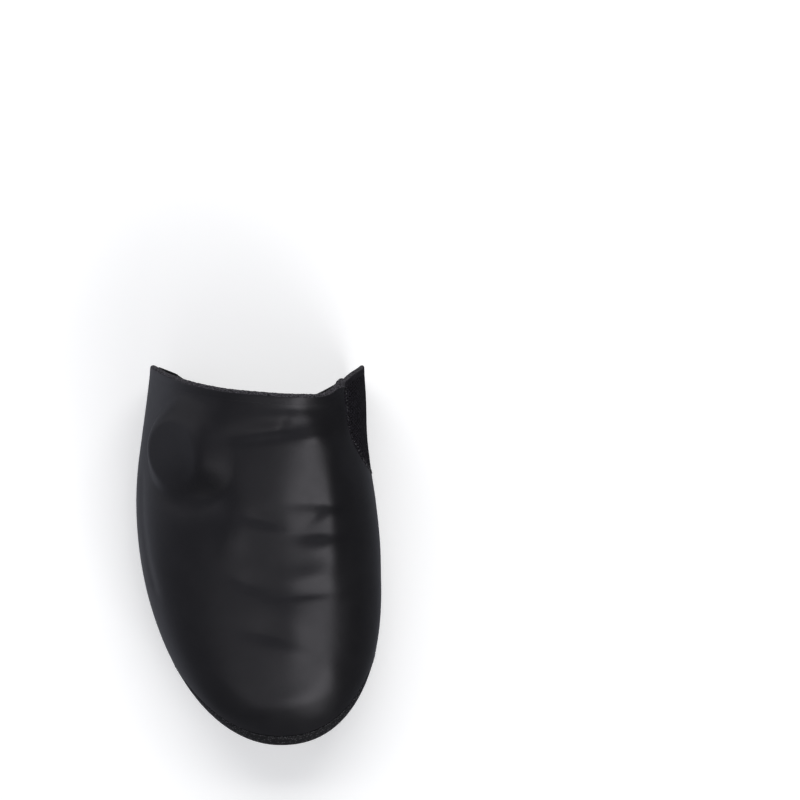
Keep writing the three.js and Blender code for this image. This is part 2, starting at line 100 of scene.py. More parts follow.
# Sections along the foot: height and x of the ridge, height of the widest contour above the sole, and
# how full the crown is on each side (2 is an ellipse, more is squarer).
SECTIONS = table(
    "y top ridge waist medial lateral",
    (80, 88.0, 15.0, 24, 2.15, 2.05),
    (66, 84.0, 14.6, 23, 2.15, 2.05),
    (45, 77.2, 13.4, 22, 2.4, 2.1),
    (22, 69.8, 11.4, 21, 2.5, 2.2),
    (2, 63.6, 9.9, 20, 2.5, 2.35),
    (BALL_Y, 59.2, APEX_X, 19, 2.35, 2.5),
    (-40, 53.8, APEX_X, 16.5, 2.3, 2.6),
    (-60, 50.5, APEX_X, 14.7, 2.35, 2.6),
    (-66.5, 48.6, APEX_X, 14.1, 2.4, 2.6),
    (-72, 44.8, APEX_X, 13.6, 2.4, 2.6),
    (TOE_Y, 37.0, APEX_X, 13, 2.4, 2.6),
)

# The opening edge. turn: degrees round the section from the ridge; 90 is the widest contour.
OPENING = table(
    "turn medial lateral",
    (0, 67.4, 67.4),
    (22, 67.3, 69.3),
    (32, 68.4, 70.8),
    (44, 72.2, 73.0),
    (58, 76.3, 76.0),
    (74, 78.7, 79.2),
    (90, 79.9, 80.0),
    (125, 79.0, 79.2),
    (180, 78.0, 78.0),
)

# The seam between upper and gusset, and the seam between upper and sole.
GUSSET_SEAM = table(
    "y turn",
    (80, 46.5),
    (59, 46.5),
    (54.5, 47.5),
    (49.5, 51.5),
    (44.6, 58.5),
    (40.0, 67),
    (36.6, 77),
    (34.4, 90),
    (32.5, 106),
    (30.5, 124),
    (28, 140),
)
SOLE_SEAM = table(
    "y turn",
    (-18, 122),
    (-34, 106),
    (-46, 86),
    (-54, 77),
    (-62, 72.5),
    (-69, 69.5),
    (-76, 67),
    (TOE_Y, 66),
)
SIDE_SEAM_TURN = SOLE_SEAM["turn"][0]

# The closure dial of the shoe, which stands out under the upper. The fabric drops from it steeply on
# the lateral side and runs on to the instep in a long tent on the other.
DIAL_TILT = 42
DIAL = {
    "centre": np.array([-33.2, 43.9, 60.5]),
    "axis": np.array([-math.sin(math.radians(DIAL_TILT)), -0.12, math.cos(math.radians(DIAL_TILT))]),
    "radius": 12.8,
    "skirt": 6.5,
    "tent": 15.0,
    "rise": 1.9,
    "depth": 9,
}

# Folds and pads where the upper is drawn over the shoe's closures. angle: degrees from +X to the long
# direction. rise: positive for a pad, negative for a fold. lean: how much longer the slope towards the
# heel is than the one towards the toe.
FOLDS = table(
    "name x y angle half_length half_width lean rise",
    ("edge_fold", 20, 61.7, 0, 12, 2.4, 1, -0.6),
    ("instep_fold", 7, 52.0, 6, 16, 2.8, 1.5, -1.3),
    ("instep_pad", 25, 50.5, -3, 8, 5.0, 1, 1.6),
    ("strap_trough", 19, 18.0, 92, 34, 6.0, 1, -0.4),
    ("strap_shoulder", 32.0, 20.0, 90, 30, 5.0, 1, 1.0),
    ("first_gap", 29, 22.8, -3, 11, 3.4, 4, -1.6),
    ("first_branch", 26, 18.5, 40, 5, 2.6, 1.5, -0.5),
    ("second_gap", 29, 10.8, 2, 12, 3.4, 3, -1.1),
    ("second_pad", 27.5, 5.0, 0, 6, 3.2, 1, 0.4),
    ("third_pad", 24, -7.0, 4, 9, 4.0, 1, 0.5),
    ("third_gap", 22, -14.8, 4, 13, 1.8, 3, -0.4),
    ("guide_pad", -9.5, 9.8, 90, 10, 6.0, 1, 1.1),
    ("guide_fold", 2.8, 16.0, -15, 8, 2.4, 2, -0.8),
    ("lower_fold", -0.5, -11.6, -28, 8, 2.6, 2, -0.8),
    ("vamp_fold", 7, -32.0, -14, 12, 3.6, 2, -0.9),
    ("dial_hollow", -23, 26, -8, 12, 7.5, 1.4, -3.4),
    ("seam_roll", 37.5, 58.0, 90, 10, 3.0, 1, 0.7),
)

# Lower relief, which only the looks have, in the same columns.
FINE_FOLDS = table(
    "name x y angle half_length half_width lean rise",
    ("crown_line", 15.5, -27.5, 90, 14, 8, 1, 0.9),
    ("dial_shoulder", -17.5, 54.5, -4, 8, 8, 1, 1.15),
    ("toe_flank", 30.5, -48, 90, 9, 7, 1, 0.7),
    ("toe_roll", 14, -60.2, 12, 16, 4.6, 1.2, 0.7),
    ("toe_roll_lateral", -9, -55.0, -38, 11, 4.5, 1, 0.3),
    ("hem_dimple", 12, 54.5, 60, 4, 1.6, 1, -0.25),
    ("crown_edge", 27.5, 61, 90, 9, 8, 1, -0.9),
)

# The long crease along the lateral side, a little above its widest line. fade: the length over which it
# runs out at its ends, and inward: over which it does from the side to the middle of the cover.
SIDE_CREASE = {"z": 40.5, "half_width": 2.6, "depth": 0.5}
CREASE_RUN = {"front": -22, "back": 40, "fade": 12, "inward": 20}

# How finely the surfaces are cut.
SIDE_COLUMNS = 118
TOE_COLUMNS = 142
SHELL_ROWS = 118
GUSSET_COLUMNS = 210
GUSSET_ROWS = 170
WRAP_ROWS = 24
FLOOR_ROWS = 30
BACK_EDGE_COLUMNS = 60
PROFILE_STEPS = 180
RIM_STEPS = 4
CROSSING_STEPS = 18  # halvings of the way to a seam
MERGE_DIGITS = 3  # decimals of a millimetre to which joined points agree
GRAIN_CELLS = 32  # after which a grain repeats
SNAP = 0.3  # of an edge: a corner nearer to a cut than this is moved onto it
NUDGE = {"s": 0.002, "turn": 0.5, "y": 0.5}  # for slopes taken between two near places

# Where pieces meet.
SEAM_GAP = 0.1  # what neighbouring pieces keep between them along the sole seam
SEAM_BACK = 0.7  # degrees of turn that the upper and the gusset each stay back from their seam
RIM_BULGE = 0.5  # how far a wall's rounded rim stands out past its edge
RIM_SHARP = 30  # degrees at which the shell's rim shows as an edge
HAIRLINE = 0.04  # between a wall and its hem


# ---- The cover's surface ----
# Places on it are a station s, which runs 0 to 1 forward along the medial side, 1 to 2 round the toe and
# 2 to 3 back along the lateral side, and a turn in degrees from the ridge.


def mix(a, b, t):
    """a where t is 0, b where t is 1."""
    return a + (b - a) * t


def smooth(t):
    """A soft step from 0 to 1 while t goes from 0 to 1."""
    t = np.clip(t, 0, 1)
    return t * t * (3 - 2 * t)


def unit(vectors):
    """The vectors at length 1."""
    return vectors / np.maximum(np.linalg.norm(vectors, axis=-1, keepdims=True), 1e-12)


def along(rows, place, key, at):
    """The value of one column of a table at a place, along a smooth curve through its rows."""
    x, v = rows[place], rows[key]
    if x[0] > x[-1]:
        x, v = x[::-1], v[::-1]
    inner = (v[2:] - v[:-2]) / (x[2:] - x[:-2])
    first = (v[1] - v[0]) / (x[1] - x[0])
    final = (v[-1] - v[-2]) / (x[-1] - x[-2])
    slope = np.concatenate([[first], inner, [final]])
    at = np.clip(at, x[0], x[-1])
    i = np.clip(np.searchsorted(x, at, side="right") - 1, 0, len(x) - 2)
    span = x[i + 1] - x[i]
    t = (at - x[i]) / span
    from_start = (2 * t**3 - 3 * t**2 + 1) * v[i] + (t**3 - 2 * t**2 + t) * span * slope[i]
    return from_start + (3 * t**2 - 2 * t**3) * v[i + 1] + (t**3 - t**2) * span * slope[i + 1]


def by_side(medial, rows, place, at):
    """A column of a table for each place: the medial one where medial is true, else the lateral one."""
    return np.where(medial, along(rows, place, "medial", at), along(rows, place, "lateral", at))


def sole_height(y):
    """Height of the sole's underside."""
    spring = np.clip((SPRING_START_Y - y) / (SPRING_START_Y - TOE_Y), 0, 1)
    lift = np.clip(y - BACK_LIFT_Y, 0, None) / (LENGTH / 2 - BACK_LIFT_Y)
    return TOE_SPRING * spring**SPRING_POWER + BACK_LIFT * lift**2


def arc(angle, fullness):
    """Points of the superellipse arc from (1, 0) to (0, 1)."""
    power = 2 / fullness
    return np.clip(np.cos(angle), 0, None) ** power, np.clip(np.sin(angle), 0, None) ** power


def side_x(medial, y):
    """x of the widest contour beside the foot, behind the toe's arcs."""
    ahead = np.clip((LATERAL_ARC_Y - y) / (LATERAL_ARC_Y - TOE_Y), 0, 1)
    on_arc = APEX_X - (APEX_X - LATERAL_X) * np.sqrt(1 - ahead**2)
    lateral = np.where(ahead > 0, on_arc, along(SIDES, "y", "lateral", y))
    return np.where(medial, along(SIDES, "y", "medial", y), lateral)


def station(s):
    """Each station's side, share u of the way to the ball line, root on the ridge and rim point."""
    medial = s < 1.5
    toe = (s > 1) & (s < 2)
    u = np.minimum(np.where(medial, s, 3 - s), 1)
    root_y = mix(OPENING["medial"][0], BALL_Y, u + u**2 - u**3)
    root = np.stack([along(SECTIONS, "y", "ridge", root_y), root_y], -1)
    side_y = mix(by_side(medial, OPENING, "turn", 90.0), BALL_Y, u)
    side_rim = np.stack([side_x(medial, side_y), side_y], -1)
    across, ahead = arc((s - 1) * math.pi, MEDIAL_ARC_FULLNESS)
    medial_rim = np.stack([mix(APEX_X, MEDIAL_X, across), mix(BALL_Y, TOE_Y, ahead)], -1)
    back_angle = math.asin((LATERAL_ARC_Y - BALL_Y) / (LATERAL_ARC_Y - TOE_Y))
    angle = mix(math.pi / 2, back_angle, np.clip(s - 1.5, 0, 0.5) * 2)
    lateral_rim = np.stack(
        [mix(APEX_X, LATERAL_X, np.cos(angle)), mix(LATERAL_ARC_Y, TOE_Y, np.sin(angle))], -1
    )
    toe_rim = np.where(medial[..., None], medial_rim, lateral_rim)
    return medial, u, root, np.where(toe[..., None], toe_rim, side_rim)


def skin(s, turn):
    """Points of the bare skin: turn 0 is the ridge, 90 the widest contour, 180 the flat of the sole."""
    s, turn = np.broadcast_arrays(np.asarray(s, float), np.asarray(turn, float))
    medial, u, root, rim = station(s)
    opening_y = by_side(medial, OPENING, "turn", turn)
    ridge_y = by_side(medial, OPENING, "turn", 0.0)
    waist_y = by_side(medial, OPENING, "turn", 90.0)
    fade = (1 - u) ** 2
    waist = sole_height(rim[..., 1]) + along(SECTIONS, "y", "waist", rim[..., 1])

    middle_y = (root[..., 1] + rim[..., 1]) / 2
    sides = [along(SECTIONS, "y", side, middle_y) for side in ("medial", "lateral")]
    fullness = mix(*sides, smooth(s - 1))
    lift, out = arc(np.radians(np.minimum(turn, 90)), fullness)
    over = mix(root, rim, out[..., None])
    over_y = over[..., 1] + (opening_y - mix(ridge_y, waist_y, out)) * fade
    over_z = mix(waist, along(SECTIONS, "y", "top", over_y), lift)

    angle = np.radians(np.clip(turn - 90, 0, 90))
    under = rim + unit(root - rim) * (SOLE_EDGE_RADIUS * (1 - np.cos(angle)))[..., None]
    under_y = under[..., 1] + (opening_y - waist_y) * fade
    under_z = mix(waist, sole_height(under_y), np.sin(angle))

    above = turn <= 90
    x = np.where(above, over[..., 0], under[..., 0])
    return np.stack([x, np.where(above, over_y, under_y), np.where(above, over_z, under_z)], -1)


def skin_normal(s, turn):
    """The outward normals of the bare skin."""
    t = np.clip(turn, 2 * NUDGE["turn"], 180 - 2 * NUDGE["turn"])
    forward = skin(s + NUDGE["s"], t) - skin(s - NUDGE["s"], t)
    down = skin(s, t + NUDGE["turn"]) - skin(s, t - NUDGE["turn"])
    return unit(np.cross(forward, down))


def fold_rise(x, y, folds):
    """How far the folds of a table lift the surface at each place in plan."""
    rise = np.zeros_like(x)
    for _, cx, cy, angle, half_length, half_width, lean, height in zip(*folds.values()):
        turn = math.radians(angle)
        run = ((x - cx) * math.cos(turn) + (y - cy) * math.sin(turn)) / half_length
        across = ((y - cy) * math.cos(turn) - (x - cx) * math.sin(turn)) / half_width
        across = np.where(across > 0, across / lean, across)
        rise += height * np.exp(-(run**2) - across**2)
    return rise


def side_crease(x, y, z):
    """How far the long crease of the lateral side lifts the surface at each place."""
    across = (z - SIDE_CREASE["z"]) / SIDE_CREASE["half_width"]
    front = smooth((y - CREASE_RUN["front"]) / CREASE_RUN["fade"])
    back = smooth((CREASE_RUN["back"] - y) / CREASE_RUN["fade"])
    lateral = smooth(-x / CREASE_RUN["inward"])
    return -SIDE_CREASE["depth"] * np.exp(-(across**2)) * front * back * lateral


def relief(points, normals):
    """The upper's relief: the dial lifts the skin to a flat cap, and folds push it along its normal. The
    folds fade out down the steep sides."""
    axis = unit(DIAL["axis"])
    offset = points - DIAL["centre"]
    height = offset @ axis
    flat = offset - height[..., None] * axis
    away = np.linalg.norm(flat, axis=-1)
    towards_instep = smooth(0.5 + flat[..., 0] / np.maximum(away, 1))
    skirt = mix(DIAL["skirt"], DIAL["tent"], towards_instep)
    cap = 1 - smooth((away - DIAL["radius"]) / skirt)
    moved = points + (np.maximum(DIAL["rise"] - height, -DIAL["depth"]) * cap)[..., None] * axis
    x, y, z = np.moveaxis(moved, -1, 0)
    on_top = smooth(normals[..., 2] * 2)
    rise = (fold_rise(x, y, FOLDS) + fold_rise(x, y, FINE_FOLDS)) * on_top
    return moved + normals * (rise + side_crease(x, y, z))[..., None]


# ---- Meshes from that surface ----


def grid_faces(columns, rows, closed=False):
    """Triangles over a grid of points numbered column by column, anticlockwise seen from outside."""
    i = np.arange(columns if closed else columns - 1)[:, None]
    j = np.arange(rows - 1)[None, :]
    a = i * rows + j
    b = (i + 1) % columns * rows + j
    quads = np.stack([a, b, b + 1, a + 1], -1).reshape(-1, 4)
    return np.concatenate([quads[:, [0, 1, 2]], quads[:, [0, 2, 3]]])


def ring_faces(rings, corners):
    """Triangles over a row of closed rings of points, numbered ring by ring."""
    order = np.arange(rings * corners).reshape(rings, corners).T.reshape(-1)
    return order[grid_faces(corners, rings, closed=True)]


def merged(points, faces):
    """Points that coincide are joined, and triangles that lose a corner by it are dropped.
    Returns the number of a first point for each joined one, and the triangles."""
    places = points.round(MERGE_DIGITS)
    _, first, number = np.unique(places, axis=0, return_index=True, return_inverse=True)
    faces = number.reshape(-1)[faces]
    a, b, c = faces.T
    return first, faces[(a != b) & (b != c) & (c != a)]


def profile_lengths(stations):
    """Chains of points down the skin: their turns, their points and their lengths along each chain."""
    turns = np.linspace(0, 180, PROFILE_STEPS + 1)
    points = skin(stations[:, None], turns[None, :])
    steps = np.linalg.norm(np.diff(points, axis=1), axis=-1)
    return turns, points, np.pad(np.cumsum(steps, axis=1), ((0, 0), (1, 0)))


def seam_turns(seam, turns, points):
    """The turn at which each chain crosses a seam."""
    past = turns - along(seam, "y", "turn", points[..., 1])
    i = np.argmax(past >= 0, axis=1)
    k = np.arange(len(i))
    share = past[k, i] / (past[k, i] - past[k, i - 1])
    return mix(turns[i], turns[i - 1], share)


def lengths_to_seam(seam, chains):
    """Length along each chain to a seam."""
    turns, points, lengths = chains
    ends = seam_turns(seam, turns, points)
    return np.array([np.interp(end, turns, length) for end, length in zip(ends, lengths)])


def columns_down(stations, starts, ends, rows, chains):
    """Places on columns down the skin at equal steps of length: an array of (s, turn)."""
    turns, _, lengths = chains
    shares = np.linspace(0, 1, rows + 1)
    wanted = mix(starts[:, None], ends[:, None], shares)
    turn = np.array([np.interp(want, length, turns) for want, length in zip(wanted, lengths)])
    return np.stack([np.repeat(stations[:, None], rows + 1, axis=1), turn], -1)


def stations_round(first):
    """Stations all the way round, from u = first on the medial side to u = first on the lateral one."""
    side = np.linspace(first, 1, SIDE_COLUMNS + 1)
    toe = np.linspace(1, 2, TOE_COLUMNS + 1)[1:-1]
    return np.concatenate([side, toe, (3 - side)[::-1]])


def past_gusset_seam(places):
    """How many degrees each place is past the gusset seam: above 0 on the gusset."""
    s, turn = places[..., 0], places[..., 1]
    y = skin(s, turn)[..., 1]
    return np.where(s < 1, turn - along(GUSSET_SEAM, "y", "turn", y), -turn - 1)


def crossing(a, b, past):
    """The share of the way from places a to places b where past is 0."""
    starts_past = past(a) > 0
    low, high = np.zeros(len(a)), np.ones(len(a))
    for _ in range(CROSSING_STEPS):
        middle = (low + high) / 2
        same = (past(mix(a, b, middle[:, None])) > 0) == starts_past
        low, high = np.where(same, middle, low), np.where(same, high, middle)
    return low


def directed_edges(faces):
    """The three edges of each triangle, in the direction that it goes round."""
    return np.concatenate([faces[:, [0, 1]], faces[:, [1, 2]], faces[:, [2, 0]]])


def cut_edges(faces, side):
    """The edges whose ends have values of side below 0 and above 0."""
    edges = np.unique(np.sort(directed_edges(faces)), axis=0)
    return edges[side[edges[:, 0]] * side[edges[:, 1]] < 0]


def snapped(places, side, edges, shares):
    """Places and their sides, with the corners close to a cut moved onto it. shares: how far along each
    edge the cut crosses it."""
    places = places.copy()
    ends = np.concatenate([edges, edges[:, ::-1]])
    shares = np.concatenate([shares, 1 - shares])
    moved_to = {}
    for k in np.argsort(shares):
        if shares[k] > SNAP:
            break
        a, b = ends[k]
        if a not in moved_to and b not in moved_to:
            moved_to[a] = mix(places[a], places[b], shares[k])
    for a, place in moved_to.items():
        places[a] = place
        side[a] = 0
    return places, side


def cut_faces(faces, side, edges, first_number):
    """The triangles where side is below 0. Those that the cut crosses end on new corners, one on each
    cut edge, which are numbered from first_number."""
    number = {tuple(edge): first_number + k for k, edge in enumerate(edges.tolist())}
    values = side[faces]
    whole = faces[(values <= 0).all(axis=1) & (values < 0).any(axis=1)]
    crossed = faces[(values < 0).any(axis=1) & (values > 0).any(axis=1)]
    cut = []
    for face in crossed.tolist():
        outline = []
        for a, b in zip(face, face[1:] + face[:1]):
            if side[a] <= 0:
                outline.append(a)
            if side[a] * side[b] < 0:
                outline.append(number[(min(a, b), max(a, b))])
        cut += [[outline[0], outline[k], outline[k + 1]] for k in range(1, len(outline) - 1)]
    return np.concatenate([whole, np.array(cut).reshape(-1, 3)])


def trim(places, faces, past):
    """Keeps the part of a surface where past is below 0. Corners close to the line are moved onto it
    first, so that the cut leaves no slivers."""
    side = past(places)
    edges = cut_edges(faces, side)
    shares = crossing(places[edges[:, 0]], places[edges[:, 1]], past)
    places, side = snapped(places, side, edges, shares)
    edges = cut_edges(faces, side)
    starts, ends = places[edges[:, 0]], places[edges[:, 1]]
    added = mix(starts, ends, crossing(starts, ends, past)[:, None])
    faces = cut_faces(faces, side, edges, len(places))
    places = np.concatenate([places, added])
    used, numbers = np.unique(faces, return_inverse=True)
    return places[used], numbers.reshape(-1, 3)


def boundary(faces):
    """The directed edges that belong to one triangle alone."""
    edges = directed_edges(faces).tolist()
    known = set(map(tuple, edges))
    return np.array([(a, b) for a, b in edges if (b, a) not in known])


def away_from_edge(points, normals, edges, numbers):
    """The direction away from the surface at each point of its edge."""
    outward = np.zeros((numbers.max() + 1, 3))
    direction = points[edges[:, 1]] - points[edges[:, 0]]
    for k in range(2):
        np.add.at(outward, numbers[:, k], np.cross(direction, normals[edges[:, k]]))
    return unit(outward)


def wall(points, normals, faces, thickness):
    """The closed wall whose outside is this surface: a second skin inside it, and a rounded rim on each
    edge. Returns points, triangles and which triangles are on the inside."""
    count = len(points)
    inside = points - normals * thickness
    edges = boundary(faces)
    ring, numbers = np.unique(edges, return_inverse=True)
    numbers = numbers.reshape(-1, 2)
    bulge = away_from_edge(points, normals, edges, numbers) * RIM_BULGE
    middle = (points[ring] + inside[ring]) / 2
    half = (points[ring] - inside[ring]) / 2
    rows = [ring]
    rims = []
    for k in range(1, RIM_STEPS):
        angle = math.pi * k / RIM_STEPS
        rims.append(middle + half * math.cos(angle) + bulge * math.sin(angle))
        rows.append(2 * count + (k - 1) * len(ring) + np.arange(len(ring)))
    rows.append(ring + count)
    strips = []
    for upper_row, lower_row in zip(rows, rows[1:]):
        a, b = upper_row[numbers].T
        c, d = lower_row[numbers].T
        strips += [np.stack([b, a, c], -1), np.stack([b, c, d], -1)]
    backs = faces[:, [0, 2, 1]] + count
    all_faces = np.concatenate([faces, backs, *strips])
    inner = np.zeros(len(all_faces))
    inner[len(faces) : 2 * len(faces)] = 1
    return np.concatenate([points, inside, *rims]), all_faces, inner


def piece(name, points, faces, materials, face_materials=None, sharp=None):
    """A smooth mesh object of the cover, from points in millimetres. Where two faces meet at more than
    sharp degrees, the edge between them shows."""
    mesh = bpy.data.meshes.new(name)
    mesh.from_pydata((points * MM).tolist(), [], faces.tolist())
    for material in materials:
        mesh.materials.append(material)
    if face_materials is not None:
        mesh.polygons.foreach_set("material_index", np.asarray(face_materials, np.int32))
    mesh.polygons.foreach_set("use_smooth", np.ones(len(mesh.polygons), bool))
    if sharp is not None:
        mesh.set_sharp_from_angle(angle=math.radians(sharp))
    mesh.update()
    obj = bpy.data.objects.new(name, mesh)
    bpy.context.scene.collection.objects.link(obj)
    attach(obj, "root")
    return obj


def set_point_values(obj, name, values):
    """Stores a number for each point of a mesh, for its material to read."""
    attribute = obj.data.attributes.new(name, "FLOAT", "POINT")
    attribute.data.foreach_set("value", np.asarray(values, np.float32))


def grain(points, size, seed):
    """Smooth random numbers from -1 to 1 over space, with features of that size."""
    numbers = np.random.default_rng(seed).uniform(-1, 1, (GRAIN_CELLS,) * 3)
    cell = np.floor(points / size).astype(int)
    share = smooth(points / size - cell)
    total = np.zeros(points.shape[:-1])
    for corner in np.ndindex(2, 2, 2):
        at = (cell + corner) % GRAIN_CELLS
        weight = np.prod(np.where(corner, share, 1 - share), axis=-1)
        total += weight * numbers[at[..., 0], at[..., 1], at[..., 2]]
    return total


# ---- Materials ----


def colour_ramp(tree, value, stops):
    """Colours along a value, in a node tree: stops of (position, (red, green, blue))."""
    made = tree.nodes.new("ShaderNodeValToRGB")
    elements = made.color_ramp.elements
    while len(elements) < len(stops):
        elements.new(0.5)
    for element, (position, colour) in zip(elements, stops):
        element.position = position
        element.color = (*colour, 1)
    tree.links.new(value, made.inputs["Fac"])
    return made.outputs["Color"]


class Finish:
    """A Principled material in the making. Sizes of its textures are in millimetres."""

    def __init__(self, name, **fixed):
        self.material = bpy.data.materials.new(name)
        self.material.use_nodes = True
        self.tree = self.material.node_tree
        self.shader = self.tree.nodes["Principled BSDF"]
        for socket, value in fixed.items():
            self.shader.inputs[socket.replace("_", " ")].default_value = value

    def node(self, kind, **settings):
        """A new node of the material with these settings."""
        made = self.tree.nodes.new("ShaderNode" + kind)
        for name, value in settings.items():
            setattr(made, name, value)
        return made

    def link(self, source, target):
        self.tree.links.new(source, target)

    def place(self, size):
        """Object coordinates, scaled so that a texture's cell has this size."""
        coordinates = self.node("TexCoord")
        mapping = self.node("Mapping")
        mapping.inputs["Scale"].default_value = [1 / (size * MM)] * 3
        self.link(coordinates.outputs["Object"], mapping.inputs["Vector"])
        return mapping.outputs["Vector"]

    def noise(self, size, detail):
        """Noise with features of this size. detail: how many finer layers lie over them."""
        made = self.node("TexNoise")
        made.inputs["Scale"].default_value = 1.0
        made.inputs["Detail"].default_value = detail
        self.link(self.place(size), made.inputs["Vector"])
        return made.outputs["Fac"]

    def cells(self, size):
        """The distance to the nearest of scattered points, about this size apart."""
        made = self.node("TexVoronoi", feature="F1")
        made.inputs["Scale"].default_value = 1.0
        made.inputs["Randomness"].default_value = 0.8
        self.link(self.place(size), made.inputs["Vector"])
        return made.outputs["Distance"]

    def attribute(self, name):
        """Numbers that the mesh stores."""
        return self.node("Attribute", attribute_name=name).outputs["Fac"]

    def ramp(self, value, *stops):
        """Colours along a value, as colour_ramp has them."""
        return colour_ramp(self.tree, value, stops)

    def blend(self, share, first, second):
        """The first colour where share is 0, the second where it is 1."""
        made = self.node("Mix", data_type="RGBA")
        self.link(share, made.inputs["Factor"])
        self.link(first, made.inputs["A"])
        self.link(second, made.inputs["B"])
        return made.outputs["Result"]

    def between(self, value, low, high):
        """A value from 0 to 1 brought to between low and high."""
        made = self.node("MapRange")
        made.inputs["To Min"].default_value = low
        made.inputs["To Max"].default_value = high
        self.link(value, made.inputs["Value"])
        return made.outputs["Result"]

    def bump(self, height, distance, strength, under=None):
        """A bumpy normal, over the one under it."""
        made = self.node("Bump")
        made.inputs["Strength"].default_value = strength
        made.inputs["Distance"].default_value = distance * MM
        self.link(height, made.inputs["Height"])
        if under is not None:
            self.link(under, made.inputs["Normal"])
        return made.outputs["Normal"]

    def finish(self, colour, roughness, normal):
        """The material, with what varies over it."""
        self.link(colour, self.shader.inputs["Base Color"])
        self.link(roughness, self.shader.inputs["Roughness"])
        self.link(normal, self.shader.inputs["Normal"])
        return self.material


def coated_fabric():
    """Satin, rubbery coating over a stretch fabric: nearly black, with a fine pebbled grain."""
    made = Finish("coated_fabric", Specular_IOR_Level=0.41, Specular_Tint=(0.96, 0.93, 1.0, 1.0))
    tone = made.ramp(made.noise(9, 4), (0.3, (0.0052, 0.0051, 0.0058)), (0.7, (0.0070, 0.0069, 0.0078)))
    grain_fine = made.noise(0.32, 3)
    grain_skin = made.noise(1.6, 3)
    roughness = made.between(made.noise(5, 5), 0.36, 0.44)
    normal = made.bump(grain_skin, 0.03, 0.6)
    return made.finish(tone, roughness, made.bump(grain_fine, 0.03, 0.5, normal))


def brushed_lining():
    """The fleecy inside of the fabric."""
    made = Finish("brushed_lining", Sheen_Weight=0.3, Sheen_Roughness=0.6)
    tone = made.ramp(made.noise(0.7, 5), (0.35, (0.010, 0.010, 0.011)), (0.7, (0.026, 0.026, 0.029)))
    roughness = made.between(made.noise(2, 2), 0.85, 0.95)
    return made.finish(tone, roughness, made.bump(made.noise(0.5, 4), 0.2, 0.6))


def knit_mesh():
    """Open stretch knit: violet-black yarn, with painted shade in its holes, which the mesh stores as
    hole.
    """
    made = Finish("knit_mesh", Specular_IOR_Level=0.1)
    yarn = made.ramp(made.noise(0.45, 4), (0.42, (0.0015, 0.0012, 0.002)), (0.66, (0.026, 0.023, 0.031)))
    # The holes are coloured near black: painted shade in them, where the closed wall has only a shallow
    # dent.
    hole = made.ramp(made.noise(0.4, 1), (0.3, (0.0004, 0.0003, 0.0005)), (0.7, (0.001, 0.001, 0.001)))
    colour = made.blend(made.attribute("hole"), yarn, hole)
    roughness = made.between(made.noise(1.5, 2), 0.7, 0.85)
    return made.finish(colour, roughness, made.bump(made.noise(0.22, 3), 0.06, 0.7))


def sole_fabric():
    """Hard-wearing woven fabric, dotted with small rubber grains."""
    made = Finish("sole_fabric", Specular_IOR_Level=0.3)
    dots = made.cells(1.0)
    colour = made.ramp(dots, (0.14, (0.085, 0.082, 0.090)), (0.36, (0.003, 0.003, 0.004)))
    roughness = made.between(made.noise(3, 3), 0.6, 0.8)
    return made.finish(colour, roughness, made.bump(dots, 0.25, -0.7))


def cut_edge():
    """The grainy, fibrous cut edge of the fabric along the opening."""
    made = Finish("cut_edge", Specular_IOR_Level=0.2)
    speckle = made.noise(0.45, 5)
    colour = made.ramp(speckle, (0.40, (0.006, 0.006, 0.007)), (0.62, (0.075, 0.070, 0.080)))
    roughness = made.between(made.noise(1.0, 2), 0.8, 0.95)
    return made.finish(colour, roughness, made.bump(speckle, 0.3, 0.8))


def seam_thread():
    """Twisted polyester thread, in parts a little paler than the fabrics that it joins."""
    made = Finish("seam_thread", Specular_IOR_Level=0.3)
    strands = made.noise(1.3, 4)
    colour = made.ramp(strands, (0.38, (0.012, 0.012, 0.014)), (0.66, (0.085, 0.082, 0.092)))
    roughness = made.between(made.noise(0.8, 2), 0.5, 0.7)
    return made.finish(colour, roughness, made.bump(strands, 0.08, 0.6))


COATED = coated_fabric()
LINING = brushed_lining()
KNIT = knit_mesh()
SOLE = sole_fabric()
CUT_EDGE = cut_edge()
THREAD = seam_thread()


# ---- Pieces ----


def shell_surface(stations):
    """Places and triangles of the bare skin from the ridge to the sole seam."""
    chains = profile_lengths(stations)
    ends = lengths_to_seam(SOLE_SEAM, chains) - SEAM_GAP / 2 - RIM_BULGE
    starts = np.zeros(len(stations))
    places = columns_down(stations, starts, ends, SHELL_ROWS, chains).reshape(-1, 2)
    first, faces = merged(skin(*places.T), grid_faces(len(stations), SHELL_ROWS + 1))
    return places[first], faces


def upper_shell():
    """The coated shell, down to the gusset seam and the sole seam."""
    places, faces = shell_surface(stations_round((UPPER_HEM_HEIGHT + HAIRLINE) / SIDE_RUN))
    places, faces = trim(places, faces, lambda p: past_gusset_seam(p) + SEAM_BACK)
    bare, normals = skin(*places.T), skin_normal(*places.T)
    points, faces, inner = wall(relief(bare, normals), normals, faces, UPPER_WALL)
    obj = piece("upper_shell", points, faces, [COATED, LINING], inner, RIM_SHARP)
    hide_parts("upper")
    return obj


# The gusset's surface is made past its ends and then trimmed to the seam.
GUSSET_LAST_STATION = 0.62
GUSSET_SPARE = 2.0  # how far past the seam its columns start
GUSSET_SHORTEST = 1.0  # the shortest column

# The knit of the gusset: rows of small holes between ribs that run along the foot. hole: half a hole's
# width, as a share of the pitch.
KNIT_ROUND = {"pitch": 2.0, "hole": 0.28}
KNIT_ALONG = {"pitch": 1.45, "hole": 0.32}
KNIT_DEPTH = 0.45
KNIT_FADE = 3  # degrees of turn from the seam to holes of full depth


